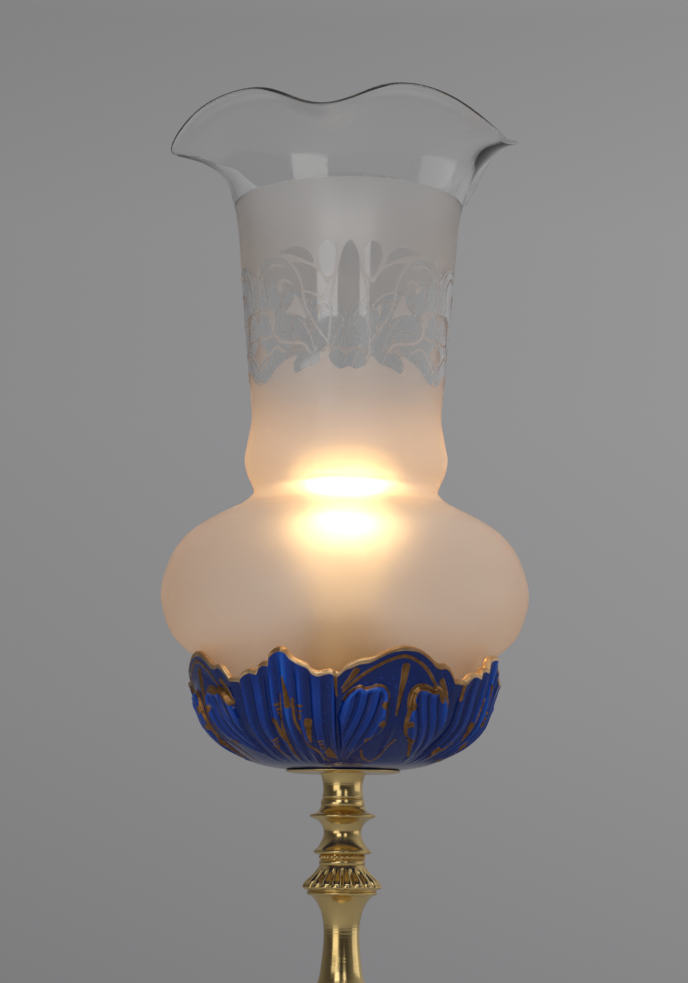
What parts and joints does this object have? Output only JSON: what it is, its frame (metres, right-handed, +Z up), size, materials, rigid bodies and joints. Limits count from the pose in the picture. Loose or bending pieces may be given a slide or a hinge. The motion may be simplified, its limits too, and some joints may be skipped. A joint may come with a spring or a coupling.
{
  "type": "table lamp",
  "caption": "Table lamp with a turned brass stem, a gilt cobalt porcelain bowl shaped as overlapping leaves, and a frosted, etched glass shade with a crimped clear rim.",
  "frame": {"origin": "centre of the felt under the foot, on the surface that the lamp stands on", "axes": "+Z up along the stem; -Y is the front; +X is to the right, where the push button is"},
  "size_m": [0.168, 0.168, 0.5624],
  "materials": {
    "felt": "wool felt",
    "steel": "zinc plated",
    "iron": "as cast",
    "brass": "turned and polished, lightly lacquered",
    "black_plastic": "moulded",
    "ivory_plastic": "moulded",
    "porcelain": "cobalt blue glaze with painted gilding",
    "rubber": "moulded",
    "white_ceramic": "glazed",
    "wire_brown": "insulated",
    "wire_blue": "insulated",
    "wire_green": "insulated",
    "bulb_pearl": "pearl, lit",
    "bulb_metal": "rolled",
    "black_glass": "vitrified",
    "clear_glass": "clear",
    "tungsten": "drawn wire, glowing",
    "shade_glass": "clear rim, acid-frosted body with an etched band"
  },
  "bodies": {
    "stand": {"felt_pad": "felt", "bottom_plate": "steel", "plate_screws": "steel", "foot_weight": "iron", "foot": "brass", "cord_gland": "black_plastic", "gland_nut": "black_plastic", "terminal_block": "ivory_plastic", "terminal_screws": "brass", "switch_body": "black_plastic", "switch_spring": "steel", "switch_bezel": "brass", "tube_nut": "brass", "tube_washer": "steel", "stem_tube": "steel", "lower_knop": "brass", "baluster": "brass", "gadroon_collar": "brass", "beaded_ring": "brass", "upper_knop": "brass", "top_neck": "brass", "drip_pan": "brass", "bowl": "porcelain", "bowl_washer": "rubber", "bowl_nut": "brass", "riser_collar": "brass", "gallery": "brass", "lampholder_cap": "brass", "lampholder_insulator": "white_ceramic", "lampholder_shell": "brass", "lampholder_ring": "brass", "screw_shell": "brass", "centre_contact": "brass", "live_wire": "wire_brown", "neutral_wire": "wire_blue", "earth_wire": "wire_green", "switch_wires": "wire_brown"},
    "shade": {"shade": "shade_glass"},
    "bulb_tip": {"bulb_contact": "bulb_metal"},
    "bulb": {"bulb_glass": "bulb_pearl", "bulb_cap": "bulb_metal", "bulb_insulator": "black_glass", "bulb_stem": "clear_glass", "filament": "tungsten"},
    "button": {"switch_button": "ivory_plastic"}
  },
  "joints": [
    {"name": "shade_lift", "type": "slide", "parent": "stand", "child": "shade", "axis": [0, 0, 1], "range_m": [0, 0.14]},
    {"name": "bulb_rise", "type": "slide", "parent": "stand", "child": "bulb_tip", "axis": [0, 0, 1], "range_m": [0, 0.0217]},
    {"name": "bulb_turn", "type": "hinge", "parent": "bulb_tip", "child": "bulb", "pos_m": [0, 0, 0.38], "axis": [0, 0, 1], "range_deg": [0, 2160]},
    {"name": "switch_press", "type": "slide", "parent": "stand", "child": "button", "axis": [0, 0, 1], "range_m": [-0.0025, 0], "stiffness_N_per_m": 400}
  ],
  "couplings": [
    {"joint": "bulb_turn", "follows": "bulb_rise", "rad_per_m": 1735.7}
  ]
}
